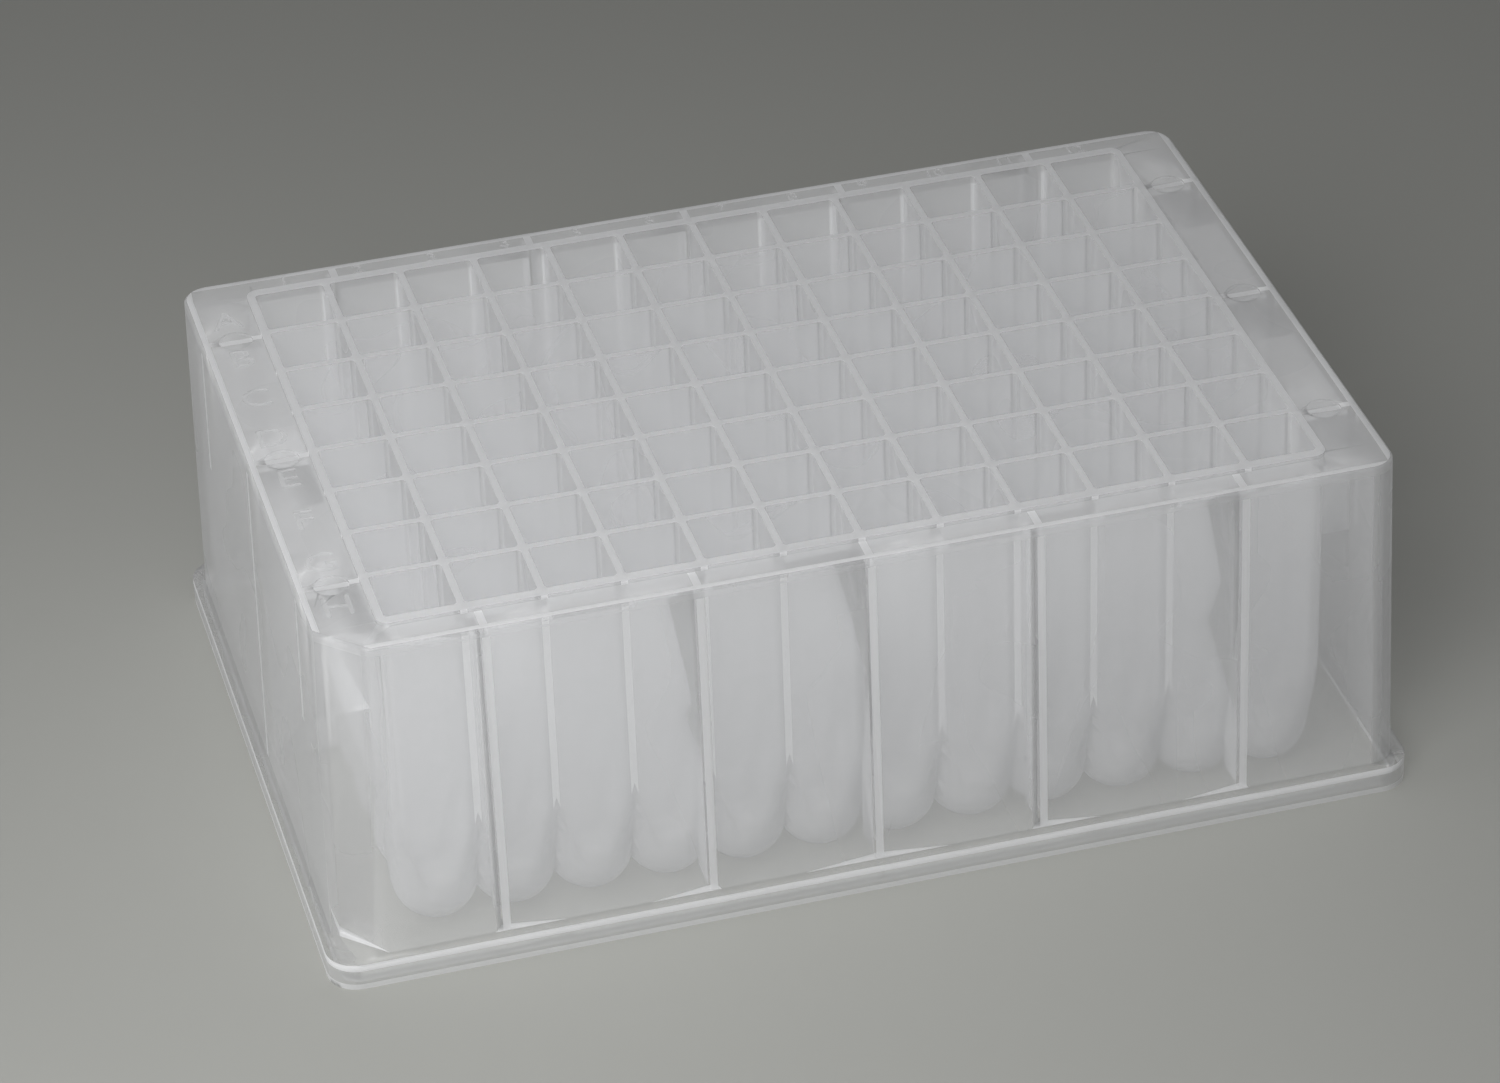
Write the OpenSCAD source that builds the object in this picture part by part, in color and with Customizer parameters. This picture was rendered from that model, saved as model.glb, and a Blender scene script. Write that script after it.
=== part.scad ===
// Deep-well microplate: 96 square wells with round bottoms, moulded in one piece.
// Origin at the middle of the underside, +X along the columns, +Y towards row A, +Z up.

/* [Wells] */
// Number of columns
cols = 12; // [10:2:12]
// Number of rows
rows = 8; // [6:2:8]
// Distance between well centres
pitch = 9; // [9:0.1:9.6]
// Width of the square mouth
mouth_w = 8.2; // [7.8:0.1:8.4]
// Radius of the upright corners in a well
corner_r = 0.5; // [0.4:0.1:1.6]
// Radius of the round well bottom
bottom_r = 4; // [3.8:0.05:4.1]
// Depth from the mouth to the lowest point of a well
well_depth = 42.45; // [30:0.05:42.6]
// Height over which the square well narrows to the round bottom
blend_h = 10; // [6:0.5:14]

/* [Plate] */
// Height from the underside to the sealing rim
plate_h = 44; // [43:0.1:46]
// Outer well walls and well floors
shell_t = 0.95; // [0.8:0.05:1.3]
// Width of the sealing rim in front of row H and behind row A
rim_w = 1.3; // [1:0.05:1.8]
// Height of the sealing rim above the deck
rim_h = 0.5; // [0.3:0.05:1]
// Thickness of the deck around the wells
deck_t = 1.05; // [0.8:0.05:1.6]

/* [Skirt] */
// From the edge of the well grid to the end faces of the flange
end_margin = 9.88; // [9:0.02:12]
// From the edge of the well grid to the front and back faces of the flange
side_margin = 6.74; // [6.3:0.02:9]
// Thickness of the upright skirt
skirt_t = 1; // [0.8:0.05:1.3]
// How far the skirt leans in from the flange up to the deck
skirt_lean = 0.75; // [0.2:0.05:1]
// Radius of the skirt's corners
skirt_r = 3; // [2:0.1:4]
// Width of the cut-off corner beside well H1
key_w = 5.3; // [3.5:0.1:6]
// Bevel on the upper edge of the skirt
edge_bevel = 0.3; // [0.1:0.05:0.5]

/* [Flange] */
// Height of the flange
flange_h = 3.3; // [2.5:0.05:4]
// Width of the ledge outside the skirt
ledge_w = 1.4; // [1.2:0.05:1.6]
// Thickness of the ledge
ledge_t = 0.85; // [0.6:0.05:1.2]
// Thickness of the upright flange wall
flange_t = 1.1; // [0.8:0.05:1.3]
// Radius of the flange's corners
flange_r = 3.6; // [3:0.1:5]
// Height of the thicker foot under the flange
foot_h = 0.7; // [0.4:0.05:1]
// How far the foot stands in from the flange wall
foot_in = 0.35; // [0.2:0.05:0.6]

/* [Ribs] */
// Thickness of the ribs between the wells and the skirt
rib_t = 0.9; // [0.7:0.05:1.2]
// Columns from each end of the grid to the inner ribs at front and back
rib_cols = 4; // [2:1:5]
// How far the front and back ribs stand from the line between two columns
rib_shift = 1.5; // [0:0.1:2.5]
// How far the short end ribs hang below the top
short_rib_h = 17.4; // [8:0.1:30]
// Diameter of the round marks on the end ribs
mark_d = 4; // [3:0.1:5]
// Depth of the round marks
mark_depth = 0.2; // [0.1:0.05:0.4]

/* [Hidden] */
$fn = 48;
// Overlap of two shapes that join or cut along one face
slack = 0.01;
// How far a cone's foot stands inside the ball that it widens from
cross_in = 0.005;
// How far a cutting shape runs past what it cuts
over = 1;
// Straight pieces in each round corner of the leaning skirt
skirt_steps = 8;

grid = [cols * pitch, rows * pitch] / 2;
well_xs = [for (i = [0:cols - 1]) (i + 0.5) * pitch - grid.x];
well_ys = [for (j = [0:rows - 1]) (j + 0.5) * pitch - grid.y];

deck_z = plate_h - rim_h;
under_deck_z = deck_z - deck_t;
ledge_z = flange_h - ledge_t;
floor_z = plate_h - well_depth;
ball_z = floor_z + bottom_r;
flare = (corner_reach(mouth_w / 2, corner_r) - bottom_r) / blend_h;

flange = grid + [end_margin, side_margin];
skirt_foot = flange - [ledge_w, ledge_w];
skirt_top = skirt_foot - [skirt_lean, skirt_lean];
block = grid + [1, 1] * (mouth_w / 2 + shell_t - pitch / 2);
rim = [block.x, grid.y + mouth_w / 2 + rim_w - pitch / 2];

rib_xs = [for (side = [-1, 1]) each [side * (grid.x - pitch - rib_shift),
                                     side * (grid.x - rib_cols * pitch + rib_shift)]];
long_rib_z = flange_h;
short_rib_z = plate_h - short_rib_h;
short_rib_ys = [-1, 1] * (grid.y - pitch);
mark_x = (rim.x + skirt_top.x - skirt_t) / 2;

// Distance from the centre of a rounded square to its corner
function corner_reach(half, r) = (half - r) * sqrt(2) + r;

// Outline with three round corners and one cut off at the front left
function skirt_outline(half, r, key) = concat(
    [[-half.x, -half.y + key], [-half.x + key, -half.y]],
    arc([half.x - r, -half.y + r], r, -90),
    arc([half.x - r, half.y - r], r, 0),
    arc([-half.x + r, half.y - r], r, 90));

function arc(centre, r, from) = [for (k = [0:skirt_steps])
    let (a = from + 90 * k / skirt_steps) centre + r * [cos(a), sin(a)]];

// Solid through a stack of outlines, each given as [outline, height]
module loft(levels) {
    n = len(levels[0][0]);
    last = len(levels) - 1;
    points = [for (level = levels) for (p = level[0]) [p.x, p.y, level[1]]];
    sides = [for (k = [0:last - 1]) for (i = [0:n - 1]) let (j = (i + 1) % n)
        [k * n + i, (k + 1) * n + i, (k + 1) * n + j, k * n + j]];
    polyhedron(points, concat([[for (i = [0:n - 1]) i]], sides,
        [[for (i = [n - 1:-1:0]) last * n + i]]));
}

module rounded(half, r) {
    square([2 * (half.x - r), 2 * half.y], center = true);
    square([2 * half.x, 2 * (half.y - r)], center = true);
    for (x = [-1, 1], y = [-1, 1]) translate([x * (half.x - r), y * (half.y - r)]) circle(r);
}

// Ball with a cone that widens upwards from it, up to height top; the cone's foot stands
// a hair inside the ball, so that the two surfaces cross instead of only touching
module bullet(r, top) {
    lean = atan(flare);
    foot = -r * sin(lean);
    foot_r = r * cos(lean) - cross_in;
    translate([0, 0, ball_z]) {
        sphere(r);
        translate([0, 0, foot])
            cylinder(h = top - ball_z - foot, r1 = foot_r,
                     r2 = foot_r + flare * (top - ball_z - foot));
    }
}

// Space inside one well
module well_space() {
    intersection() {
        translate([0, 0, floor_z - over])
            linear_extrude(height = well_depth + over + slack)
                rounded([1, 1] * mouth_w / 2, corner_r);
        bullet(bottom_r, plate_h + over);
    }
}

// Wells as a solid block whose underside is a field of round bottoms
module well_block() {
    full_z = ball_z + (corner_reach(block.x - well_xs[cols - 1], 0) - bottom_r - shell_t) / flare;
    intersection() {
        linear_extrude(height = full_z + 2 * slack) rounded(block, corner_r + shell_t);
        for (x = well_xs, y = well_ys) translate([x, y, 0]) bullet(bottom_r + shell_t, full_z + slack);
    }
    translate([0, 0, full_z])
        linear_extrude(height = plate_h - full_z) rounded(block, corner_r + shell_t);
    translate([0, 0, under_deck_z])
        linear_extrude(height = plate_h - under_deck_z) rounded(rim, corner_r + shell_t);
}

// Skirt and deck as one hollow box, open below
module skirt_box() {
    difference() {
        loft([[skirt_outline(skirt_foot, skirt_r, key_w), ledge_z],
              [skirt_outline(skirt_top, skirt_r, key_w), deck_z - edge_bevel],
              [skirt_outline(skirt_top - [1, 1] * edge_bevel, skirt_r - edge_bevel, key_w), deck_z]]);
        loft([[inner_outline(skirt_foot), ledge_z - slack],
              [inner_outline(skirt_top), under_deck_z]]);
    }
}

function inner_outline(half) = skirt_outline(half - [1, 1] * skirt_t, skirt_r - skirt_t,
    key_w - skirt_t * (2 - sqrt(2)));

module flange_ring() {
    difference() {
        linear_extrude(height = flange_h) rounded(flange, flange_r);
        translate([0, 0, foot_h])
            linear_extrude(height = ledge_z - foot_h)
                rounded(flange - [1, 1] * flange_t, flange_r - flange_t);
        translate([0, 0, -slack])
            linear_extrude(height = foot_h + 2 * slack)
                rounded(flange - [1, 1] * (flange_t + foot_in), flange_r - flange_t - foot_in);
        loft([[inner_outline(skirt_foot), ledge_z - slack],
              [inner_outline(skirt_foot), flange_h + slack]]);
    }
}

// Space that the ribs fill: out to the middle of the skirt's wall and up to the deck
module rib_space() {
    loft([[inner_outline(skirt_foot + [1, 1] * skirt_t / 2), ledge_z],
          [inner_outline(skirt_top + [1, 1] * skirt_t / 2), under_deck_z + slack]]);
}

// Upright ribs from the well block to the skirt
module ribs() {
    intersection() {
        difference() {
            union() {
                for (x = concat(rib_xs, [0])) translate([x - rib_t / 2, -flange.y, long_rib_z])
                    cube([rib_t, 2 * flange.y, plate_h]);
                translate([-flange.x, -rib_t / 2, long_rib_z]) cube([2 * flange.x, rib_t, plate_h]);
                for (y = short_rib_ys) translate([-flange.x, y - rib_t / 2, short_rib_z])
                    cube([2 * flange.x, rib_t, plate_h]);
            }
            linear_extrude(height = plate_h + over)
                square(2 * block - [1, 1] * shell_t, center = true);
        }
        rib_space();
    }
}

// Round marks that the ejector pins leave where the end ribs meet the deck
module marks() {
    for (x = [-1, 1] * mark_x, y = concat(short_rib_ys, [0]))
        translate([x, y, deck_z - mark_depth]) cylinder(h = mark_depth + over, d = mark_d);
}

module plate() {
    color("gainsboro") difference() {
        union() {
            well_block();
            skirt_box();
            flange_ring();
            ribs();
        }
        for (x = well_xs, y = well_ys) translate([x, y, 0]) well_space();
        marks();
    }
}

plate();
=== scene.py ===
import math

import bmesh
import bpy
from mathutils import Matrix, Vector
from mathutils.bvhtree import BVHTree


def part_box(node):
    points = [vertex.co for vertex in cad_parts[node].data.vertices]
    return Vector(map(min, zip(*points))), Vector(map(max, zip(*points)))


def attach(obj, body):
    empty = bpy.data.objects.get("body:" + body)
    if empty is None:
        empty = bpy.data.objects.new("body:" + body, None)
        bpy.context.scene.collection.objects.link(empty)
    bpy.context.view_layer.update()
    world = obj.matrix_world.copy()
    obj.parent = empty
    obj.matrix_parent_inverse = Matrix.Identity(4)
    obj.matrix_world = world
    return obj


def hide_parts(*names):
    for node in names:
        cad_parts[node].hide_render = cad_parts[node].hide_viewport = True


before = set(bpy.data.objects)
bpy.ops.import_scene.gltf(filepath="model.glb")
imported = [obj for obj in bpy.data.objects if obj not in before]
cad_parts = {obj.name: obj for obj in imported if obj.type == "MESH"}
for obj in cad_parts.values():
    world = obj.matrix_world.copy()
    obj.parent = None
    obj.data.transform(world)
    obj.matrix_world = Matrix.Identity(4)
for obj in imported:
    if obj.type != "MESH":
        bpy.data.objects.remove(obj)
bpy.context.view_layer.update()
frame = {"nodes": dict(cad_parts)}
mm = 0.001
plateHigh = Vector(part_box("plate")[1])
print("frame loaded:", ", ".join(frame["nodes"]))

wells = {
    "columns": 12,
    "rows": 8,
    "pitch": 9 * mm,
}
columnPlaces = [(i - (wells["columns"] - 1) / 2) * wells["pitch"] for i in range(wells["columns"])]
rowPlaces = [((wells["rows"] - 1) / 2 - i) * wells["pitch"] for i in range(wells["rows"])]
gridEdge = Vector((wells["columns"], wells["rows"])) * wells["pitch"] / 2


meshWork = {
    "join": 0.001 * mm,  # vertices nearer than this are one
    "sameHeight": 0.002 * mm,
    "cutSlack": 0.0005 * mm,
    "flatAngle": 1,  # degrees under which two faces are one flat face
    "rimAngle": 60,  # degrees over which an edge of the rim gets rounded
    "sharpAngle": 40,  # degrees over which an edge stays sharp
    "levelWeight": 100,
    "largeFace": 40,  # a face with more corners than this reaches round the well block
    "within": 0.99,  # shares just under and just over a whole size
    "past": 1.01,
}


def linkObject(name, mesh):
    made = bpy.data.objects.new(name, mesh)
    bpy.context.scene.collection.objects.link(made)
    return made


def meshFrom(bm, name):
    mesh = bpy.data.meshes.new(name)
    bm.to_mesh(mesh)
    bm.free()
    return mesh


def smoothFaces(mesh, degrees):
    for face in mesh.polygons:
        face.use_smooth = True
    mesh.set_sharp_from_angle(angle=math.radians(degrees))


def withLevelNormals(piece):
    # large flat faces keep their own normal, and only the rounded edges bend the light
    level = piece.modifiers.new("level", "WEIGHTED_NORMAL")
    level.mode = "FACE_AREA"
    level.weight = meshWork["levelWeight"]
    level.keep_sharp = True
    done = bpy.data.meshes.new_from_object(piece.evaluated_get(bpy.context.evaluated_depsgraph_get()))
    done.name = piece.name
    piece.modifiers.clear()
    piece.data = done


class Shader:
    # a small helper that adds nodes to one material and links them
    def __init__(self, name):
        self.material = bpy.data.materials.new(name)
        self.material.use_nodes = True
        self.tree = self.material.node_tree
        self.tree.nodes.clear()

    def node(self, kind, settings=None, **inputs):
        made = self.tree.nodes.new("ShaderNode" + kind)
        for key, value in (settings or {}).items():
            setattr(made, key, value)
        for key, value in inputs.items():
            self.feed(made.inputs[key.replace("_", " ")], value)
        return made

    def feed(self, socket, value):
        if isinstance(value, bpy.types.NodeSocket):
            self.tree.links.new(value, socket)
        else:
            socket.default_value = value

    def math(self, operation, *values):
        made = self.tree.nodes.new("ShaderNodeMath")
        made.operation = operation
        for socket, value in zip(made.inputs, values):
            self.feed(socket, value)
        return made.outputs[0]

    def mix(self, share, first, second):
        made = self.tree.nodes.new("ShaderNodeMixShader")
        for socket, value in zip(made.inputs, (share, first, second)):
            self.feed(socket, value)
        return made.outputs[0]


plastic = {
    "colour": (0.88, 0.885, 0.895, 1),
    "haze": 0.23 / mm,  # how fast light fades on its way through the plastic, per metre
    "mottle": 0.03,  # how much the haze varies from place to place
    "mottleScale": 55,
    "mottleRange": (0.3, 0.7),  # most of the noise lies between these values
    "refraction": 1.49,
    "slant": 1.06,  # how strongly a slanted view adds haze; nearer 1 is stronger
    "thin": 1.2 * mm,
    "thick": 4 * mm,
    "thinBehind": 0.5,  # share of the scattered light that goes on through a thin wall
    "thickBehind": 0.45,  # and through a thick section, which sends most of it back
    "shadowShare": 0.25,  # a wall's share in stopping light from the lamps
    "gloss": 0.4,
    "roughness": 0.3,
    "roughnessSpread": 0.1,
}


def translucentPlastic():
    s = Shader("naturalPolypropylene")
    place = s.node("TexCoord").outputs["Object"]
    depth = s.node("Attribute", {"attribute_name": "depth"}).outputs["Fac"]
    path = s.node("LightPath")
    lamps = path.outputs["Is Shadow Ray"]

    low, high = plastic["mottleRange"]
    mottle = s.node("TexNoise", Vector=place, Scale=plastic["mottleScale"], Detail=1.0).outputs["Fac"]
    mottleShare = s.node("MapRange", Value=mottle, From_Min=low, From_Max=high,
                         To_Min=1 - plastic["mottle"], To_Max=1 + plastic["mottle"]).outputs["Result"]
    facing = s.node("LayerWeight", Blend=0.5).outputs["Facing"]
    # the way through a wall grows with the slant of the ray inside it
    cosine = s.math("SUBTRACT", 1, facing)
    sineInside = s.math("DIVIDE", s.math("SUBTRACT", 1, s.math("MULTIPLY", cosine, cosine)),
                        plastic["slant"] ** 2)
    cosineInside = s.math("SQRT", s.math("SUBTRACT", 1, sineInside))
    haze = s.math("MULTIPLY", s.math("MULTIPLY", depth, -plastic["haze"]), mottleShare)
    through = s.math("EXPONENT", s.math("DIVIDE", haze, cosineInside))
    stopped = s.math("MULTIPLY", s.math("SUBTRACT", 1, through),
                     s.math("SUBTRACT", 1, s.math("MULTIPLY", lamps, 1 - plastic["shadowShare"])))

    rough = s.node("MapRange", Value=mottle, From_Min=low, From_Max=high,
                   To_Min=plastic["roughness"] - plastic["roughnessSpread"],
                   To_Max=plastic["roughness"] + plastic["roughnessSpread"]).outputs["Result"]

    front = s.node("BsdfDiffuse", Color=plastic["colour"]).outputs[0]
    back = s.node("BsdfTranslucent", Color=plastic["colour"]).outputs[0]
    behind = s.node("MapRange", Value=depth, From_Min=plastic["thin"], From_Max=plastic["thick"],
                    To_Min=plastic["thinBehind"], To_Max=plastic["thickBehind"]).outputs["Result"]
    body = s.mix(behind, front, back)
    clear = s.node("BsdfTransparent").outputs[0]
    wall = s.mix(stopped, clear, body)
    mirror = s.node("BsdfGlossy", Roughness=rough).outputs[0]
    shine = s.node("Fresnel", IOR=plastic["refraction"]).outputs[0]
    shineShare = s.math("MULTIPLY", s.math("MULTIPLY", shine, plastic["gloss"]), s.math("SUBTRACT", 1, lamps))
    out = s.node("OutputMaterial")
    s.feed(out.inputs["Surface"], s.mix(shineShare, wall, mirror))
    return s.material


plasticMaterial = translucentPlastic()
print("material ready")

plate = {
    "rimDrop": 0.5 * mm,  # from the sealing rim down to the deck
    "deckThick": 1.05 * mm,
    "wellMouth": 8.2 * mm,
    "blockOut": 0.55 * mm,  # from the edge of the grid to the outside of the well block
    "ledgeWide": 1.4 * mm,
    "ledgeTop": 3.3 * mm,
    "ledgeThick": 0.85 * mm,
    "footHigh": 0.7 * mm,
    "skirtWall": 1.0 * mm,
    "skirtLean": 0.75 * mm,
    "ribThick": 0.9 * mm,
    "ribPlacesX": [0, 19.5 * mm, 43.5 * mm],  # ribs at front and back, mirrored in X
    "ribPlacesY": [0, 27 * mm],  # ribs at the ends, mirrored in Y
    "shortRibEnd": 26.6 * mm,
    "bottomsBelow": 5.4 * mm,  # the round well bottoms lie under this height
    "bottomsKeep": 0.75,  # share of their faces that is kept
    "edgeRound": 0.13 * mm,
    "roundSteps": 3,
}
deckUnder = plateHigh.z - plate["rimDrop"] - plate["deckThick"]


def mergedPlate():
    bm = bmesh.new()
    bm.from_mesh(frame["nodes"]["plate"].data)
    bmesh.ops.remove_doubles(bm, verts=bm.verts, dist=meshWork["join"])
    return meshFrom(bm, "plateMerged")


def thinnedBottoms(mesh):
    # fewer faces on the 96 round bottoms, all other faces as they are
    piece = linkObject("plateThinned", mesh)
    group = piece.vertex_groups.new(name="bottoms")
    group.add([v.index for v in mesh.vertices if v.co.z < plate["bottomsBelow"]
               and abs(v.co.x) < gridEdge.x and abs(v.co.y) < gridEdge.y], 1.0, "REPLACE")
    thin = piece.modifiers.new("thin", "DECIMATE")
    thin.vertex_group = group.name
    thin.ratio = plate["bottomsKeep"]
    done = bpy.data.meshes.new_from_object(piece.evaluated_get(bpy.context.evaluated_depsgraph_get()))
    bpy.data.objects.remove(piece)
    return done


def edgesAt(bm, height):
    # sharp level edges at one height
    return [e for e in bm.edges if len(e.link_faces) == 2
            and all(abs(v.co.z - height) < meshWork["sameHeight"] for v in e.verts)
            and e.calc_face_angle(0) > math.radians(meshWork["rimAngle"])]


def roundEdges(bm, edges, width):
    bmesh.ops.bevel(bm, geom=edges, offset=width, offset_type="OFFSET", affect="EDGES",
                    segments=plate["roundSteps"], profile=0.5, material=-1, clamp_overlap=True)


def outerFaces(bm):
    # faces of the deck, skirt and flange, outside the well block
    limit = gridEdge + Vector((1, 1)) * plate["blockOut"] * meshWork["within"]
    faces = []
    for face in bm.faces:
        middle = face.calc_center_bounds()
        if abs(middle.x) > limit.x or abs(middle.y) > limit.y or len(face.verts) > meshWork["largeFace"]:
            faces.append(face)
    return faces


def cutWhereThicknessChanges(bm):
    half = plate["ribThick"] / 2
    planes = []
    alongX, alongY = Vector((1, 0, 0)), Vector((0, 1, 0))
    for across, places in ((alongX, plate["ribPlacesX"]), (alongY, plate["ribPlacesY"])):
        for place in sorted({side * place for place in places for side in (-1, 1)}):
            planes.append((across * (place - half), across))
            planes.append((across * (place + half), across))
    # the walls between the wells, where they meet the outside of the block
    wallEnd = plate["wellMouth"] / 2
    for across, middles in ((alongX, columnPlaces), (alongY, rowPlaces)):
        for middle in middles:
            planes.append((across * (middle - wallEnd), across))
            planes.append((across * (middle + wallEnd), across))
    ledgeUnder = plate["ledgeTop"] - plate["ledgeThick"]
    for height in (deckUnder, ledgeUnder, plate["footHigh"], plate["shortRibEnd"]):
        planes.append((Vector((0, 0, height)), Vector((0, 0, 1))))
    # the inner faces of the leaning skirt, carried on through its corners and the deck
    skirtIn = plate["ledgeWide"] + plate["skirtWall"]
    tilt = Vector((0, 0, plate["skirtLean"] / (plateHigh.z - plate["rimDrop"] - ledgeUnder)))
    for side in (-1, 1):
        planes.append((Vector((side * (plateHigh.x - skirtIn), 0, ledgeUnder)), Vector((side, 0, 0)) + tilt))
        planes.append((Vector((0, side * (plateHigh.y - skirtIn), ledgeUnder)), Vector((0, side, 0)) + tilt))
    for place, normal in planes:
        faces = outerFaces(bm)
        edges = list({e for f in faces for e in f.edges})
        verts = list({v for f in faces for v in f.verts})
        bmesh.ops.bisect_plane(bm, geom=verts + edges + faces, dist=meshWork["cutSlack"],
                               plane_co=place, plane_no=normal.normalized())


depthTest = {
    "deepest": 6 * mm,  # past this depth more plastic looks the same
    "start": 0.01 * mm,
    "slanted": (0.2, 0.98),  # a face this far from upright and from level is a rounded edge
    "blockCloud": 1.5,  # the well block looks cloudier than the skirt, most of all its outside
    "outsideCloud": 2.2,
    "wallMost": 1.05 * mm,  # behind a well's side, a rib counts no more than this
    "rimCloud": 1.1,
    "rimShare": 0.9,  # share of the rim's height where this counts
    "deckCloud": 1.7,  # the deck has a satin upper face
    "ribCloud": 2.6,  # a view into a rib's side passes more plastic than its thickness
    "deckEdge": 1.3 * mm,  # depth of the deck's upright edge
    "ledge": 0.7 * mm,  # and of the level faces of the flange
    "ledgeReach": 1.02,  # faces up to this share of the ledge's height are the flange's
    "flangeCloud": 1.1,
    "flangeThick": 3.5,  # how much more the flange's thick foot and ledge show
}


def wayThrough(tree, start, direction):
    way = tree.ray_cast(start + direction * depthTest["start"], direction, depthTest["deepest"])[3]
    return depthTest["deepest"] if way is None else way


def facesOut(place, normal):
    # true on the outside of a well, false on its inside
    column = min(columnPlaces, key=lambda x: abs(x - place.x))
    row = min(rowPlaces, key=lambda y: abs(y - place.y))
    fromAxis = Vector((place.x - column, place.y - row, min(0, place.z - plate["bottomsBelow"])))
    return fromAxis.dot(normal) > 0


def onRib(place, normal):
    # true on the upright sides of the ribs between the well block and the skirt
    skirtIn = Vector((1, 1)) * (plate["ledgeWide"] + plate["skirtLean"] + plate["skirtWall"])
    limit = plateHigh.xy - skirtIn
    if abs(normal.z) > depthTest["slanted"][0] or abs(place.x) > limit.x or abs(place.y) > limit.y:
        return False
    return abs(place.x) < gridEdge.x or abs(place.y) < gridEdge.y


def plasticBehind(tree, face):
    # cloudy plastic behind a face; under a rim's rounded edge, the way straight down counts too
    start = face.calc_center_median()
    way = wayThrough(tree, start, -face.normal)
    least, most = depthTest["slanted"]
    blockEnd = gridEdge + Vector((1, 1)) * plate["blockOut"] * meshWork["past"]
    if start.z > plateHigh.z - plate["rimDrop"] * depthTest["rimShare"]:
        if least < face.normal.z < most:
            way = max(way, wayThrough(tree, start, Vector((0, 0, -1))))
        return way * depthTest["rimCloud"]
    if abs(start.x) < blockEnd.x and abs(start.y) < blockEnd.y:
        if facesOut(start, face.normal):
            return way * depthTest["outsideCloud"]
        if abs(face.normal.z) < least:
            way = min(way, depthTest["wallMost"])
        return way * depthTest["blockCloud"]
    if start.z > deckUnder:
        return way * depthTest["deckCloud"] if face.normal.z > most else depthTest["deckEdge"]
    if start.z < plate["ledgeTop"] * depthTest["ledgeReach"]:
        if abs(face.normal.z) > most:
            return depthTest["ledge"]
        thick = max(1, way / plate["skirtWall"]) ** depthTest["flangeThick"]
        return way * thick * depthTest["flangeCloud"]
    return way * depthTest["ribCloud"] if onRib(start, face.normal) else way


def buildPlate():
    mesh = thinnedBottoms(mergedPlate())
    bm = bmesh.new()
    bm.from_mesh(mesh)
    print("plate merged, faces:", len(bm.faces))
    bmesh.ops.dissolve_limit(bm, angle_limit=math.radians(meshWork["flatAngle"]),
                             use_dissolve_boundaries=False, verts=bm.verts, edges=bm.edges)
    roundEdges(bm, edgesAt(bm, plateHigh.z), plate["edgeRound"])
    print("rims rounded, faces:", len(bm.faces))
    cutWhereThicknessChanges(bm)
    bmesh.ops.triangulate(bm, faces=bm.faces)
    tree = BVHTree.FromBMesh(bm)
    depth = bm.faces.layers.float.new("depth")
    for face in bm.faces:
        face[depth] = plasticBehind(tree, face)
    print("depth of plastic measured, faces:", len(bm.faces),
          "open edges:", sum(1 for e in bm.edges if len(e.link_faces) != 2))
    done = meshFrom(bm, "plateMoulding")
    smoothFaces(done, meshWork["sharpAngle"])
    done.materials.clear()
    done.materials.append(plasticMaterial)
    piece = linkObject("plateMoulding", done)
    withLevelNormals(piece)
    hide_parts("plate")
    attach(piece, "root")


buildPlate()

labels = {
    "letters": "ABCDEFGH",
    "letterSize": 5.4 * mm,
    "lettersX": -57.8 * mm,
    "numberSize": 2.6 * mm,
    "numbersY": 38.5 * mm,
    "raised": 0.1 * mm,
    "sunk": 0.06 * mm,  # how far they reach into the deck
    "edge": 0.03 * mm,
    "depth": 0.7 * mm,  # of plastic behind them, for their look
    "curveSteps": 3,
}


def addLabel(bm, words, size, x, y):
    # one line of raised text, made a mesh and put in its place on the deck
    text = bpy.data.curves.new("label", "FONT")
    text.body = words
    text.size = size
    text.align_x = "CENTER"
    text.align_y = "CENTER"
    text.resolution_u = labels["curveSteps"]
    text.extrude = (labels["raised"] + labels["sunk"]) / 2 - labels["edge"]
    text.bevel_depth = labels["edge"]
    text.offset = -labels["edge"]
    holder = bpy.data.objects.new("label", text)
    bpy.context.scene.collection.objects.link(holder)
    mesh = bpy.data.meshes.new_from_object(holder.evaluated_get(bpy.context.evaluated_depsgraph_get()))
    bpy.data.objects.remove(holder)
    deck = plateHigh.z - plate["rimDrop"]
    mesh.transform(Matrix.Translation((x, y, deck + (labels["raised"] - labels["sunk"]) / 2)))
    bm.from_mesh(mesh)


def finishLabels(bm, name):
    bmesh.ops.remove_doubles(bm, verts=bm.verts, dist=meshWork["join"])
    bmesh.ops.recalc_face_normals(bm, faces=bm.faces)
    depth = bm.faces.layers.float.new("depth")
    for face in bm.faces:
        face[depth] = labels["depth"]
    piece = linkObject(name, meshFrom(bm, name))
    piece.data.materials.clear()
    piece.data.materials.append(plasticMaterial)
    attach(piece, "root")


def buildLabels():
    bm = bmesh.new()
    for letter, y in zip(labels["letters"], rowPlaces):
        addLabel(bm, letter, labels["letterSize"], labels["lettersX"], y)
    finishLabels(bm, "rowLetters")
    bm = bmesh.new()
    for number, x in enumerate(columnPlaces, 1):
        addLabel(bm, str(number), labels["numberSize"], x, labels["numbersY"])
    finishLabels(bm, "columnNumbers")
    print("row letters and column numbers made")


buildLabels()

studio = {
    "floorSize": 6,
    "floorColour": (0.385, 0.388, 0.367, 1),
    "sky": 0.13,
    "skySeen": 0.5,
    "keyPlace": (-0.17, -0.24, 0.28),
    "keySize": 0.2,
    "keyPower": 1.25,
    "fillPlace": (-0.6, -0.05, 0.15),
    "fillSize": 0.3,
    "fillPower": 0.7,
}


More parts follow.
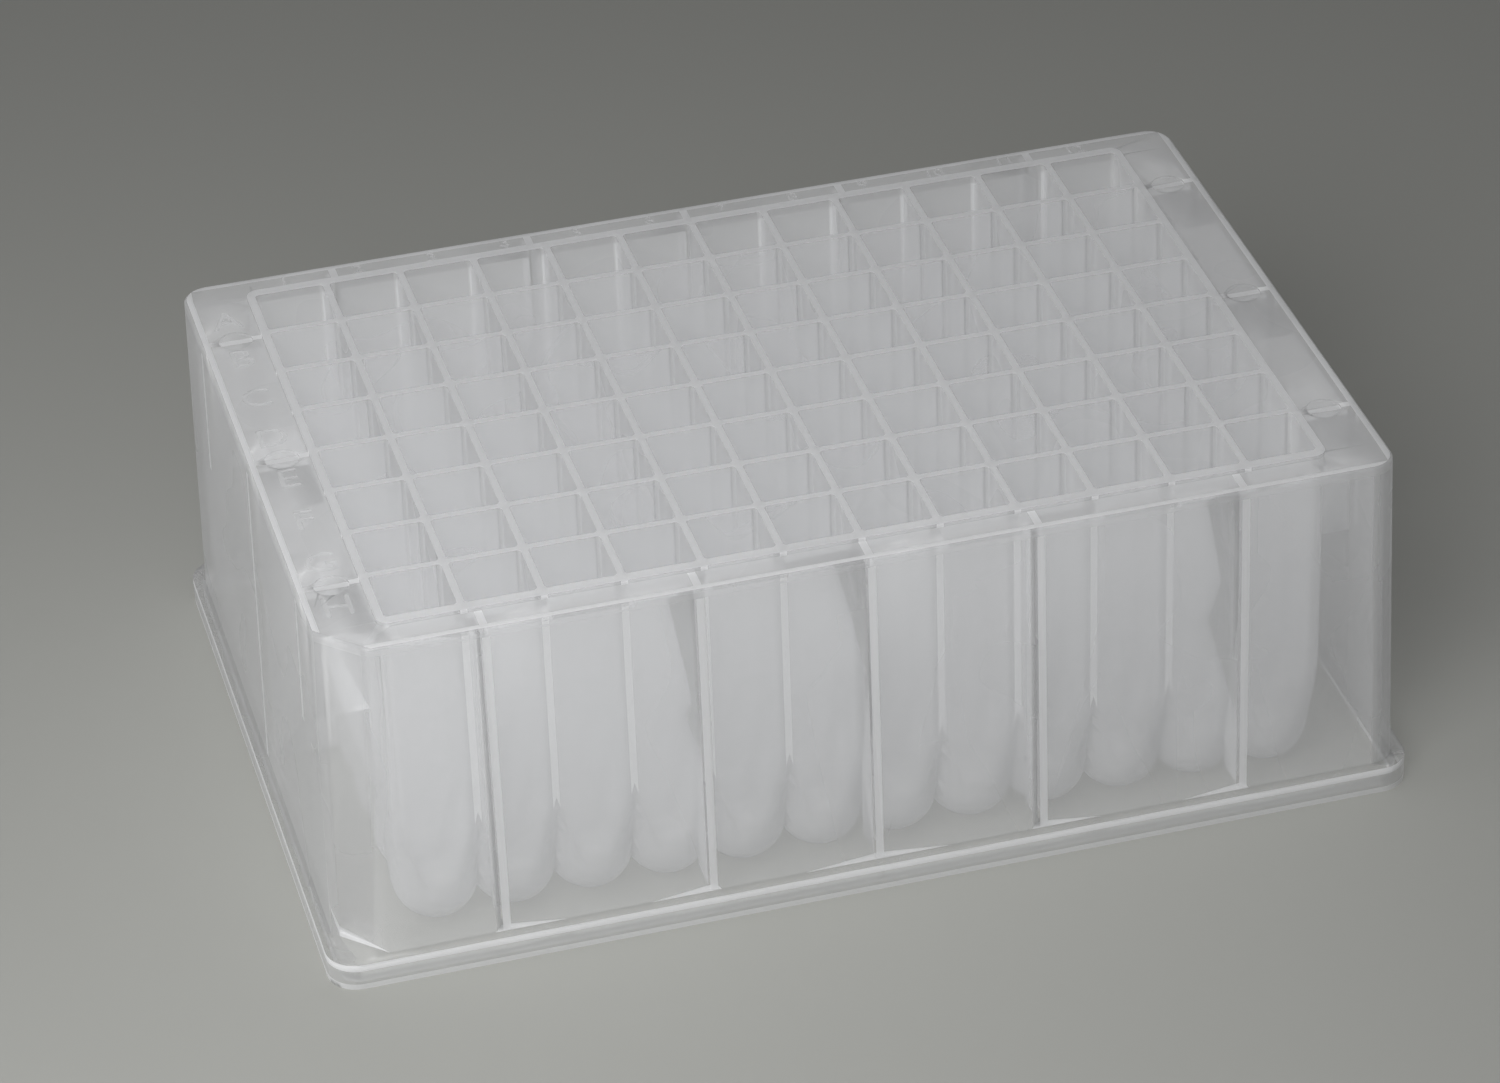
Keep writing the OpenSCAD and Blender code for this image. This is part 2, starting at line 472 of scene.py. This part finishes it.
def softLamp(name, place, size, power):
    lamp = bpy.data.lights.new(name, "AREA")
    lamp.size = size
    lamp.energy = power
    made = bpy.data.objects.new(name, lamp)
    bpy.context.scene.collection.objects.link(made)
    made.location = place
    made.rotation_euler = (-Vector(place)).to_track_quat("-Z", "Y").to_euler()


def buildStudio():
    bm = bmesh.new()
    bmesh.ops.create_grid(bm, x_segments=1, y_segments=1, size=studio["floorSize"] / 2)
    floor = linkObject("floor", meshFrom(bm, "floor"))
    s = Shader("paleFloor")
    out = s.node("OutputMaterial")
    s.feed(out.inputs["Surface"], s.node("BsdfDiffuse", Color=studio["floorColour"]).outputs[0])
    floor.data.materials.append(s.material)
    # the room lights softly, and looks pale to the camera and in reflections
    world = bpy.data.worlds.new("studio")
    world.use_nodes = True
    nodes, links = world.node_tree.nodes, world.node_tree.links
    path = nodes.new("ShaderNodeLightPath")
    seen = nodes.new("ShaderNodeMath")
    seen.operation = "MAXIMUM"
    links.new(path.outputs["Is Camera Ray"], seen.inputs[0])
    links.new(path.outputs["Is Glossy Ray"], seen.inputs[1])
    strength = nodes.new("ShaderNodeMapRange")
    strength.inputs["To Min"].default_value = studio["sky"]
    strength.inputs["To Max"].default_value = studio["skySeen"]
    links.new(seen.outputs[0], strength.inputs["Value"])
    background = nodes["Background"]
    background.inputs["Color"].default_value = (1, 1, 1, 1)
    links.new(strength.outputs["Result"], background.inputs["Strength"])
    bpy.context.scene.world = world
    softLamp("keyLamp", studio["keyPlace"], studio["keySize"], studio["keyPower"])
    softLamp("fillLamp", studio["fillPlace"], studio["fillSize"], studio["fillPower"])


view = {
    "place": (-0.13922, -0.53133, 0.38280),
    "azimuth": 14.351,
    "down": 33.411,
    "roll": -2.162,
    "lens": 134.196,
    "sensor": 36,
    "nearest": 0.01,
}


def placeCamera():
    camera = bpy.data.cameras.new("camera")
    camera.lens = view["lens"]
    camera.sensor_width = view["sensor"]
    camera.clip_start = view["nearest"]
    made = bpy.data.objects.new("camera", camera)
    bpy.context.scene.collection.objects.link(made)
    azimuth, down = math.radians(view["azimuth"]), math.radians(view["down"])
    level = math.cos(down)
    forward = Vector((math.sin(azimuth) * level, math.cos(azimuth) * level, -math.sin(down)))
    aim = forward.to_track_quat("-Z", "Y").to_matrix().to_4x4()
    roll = Matrix.Rotation(math.radians(view["roll"]), 4, "Z")
    made.matrix_world = Matrix.Translation(view["place"]) @ aim @ roll
    bpy.context.scene.camera = made


bounces = {
    "transparent_max_bounces": 24,
    "max_bounces": 6,
    "diffuse_bounces": 2,
    "glossy_bounces": 1,
}


def renderSettings():
    scene = bpy.context.scene
    scene.view_settings.view_transform = "Standard"
    scene.cycles.use_denoising = True
    for name, most in bounces.items():
        setattr(scene.cycles, name, most)


buildStudio()
placeCamera()
renderSettings()
print("studio ready")
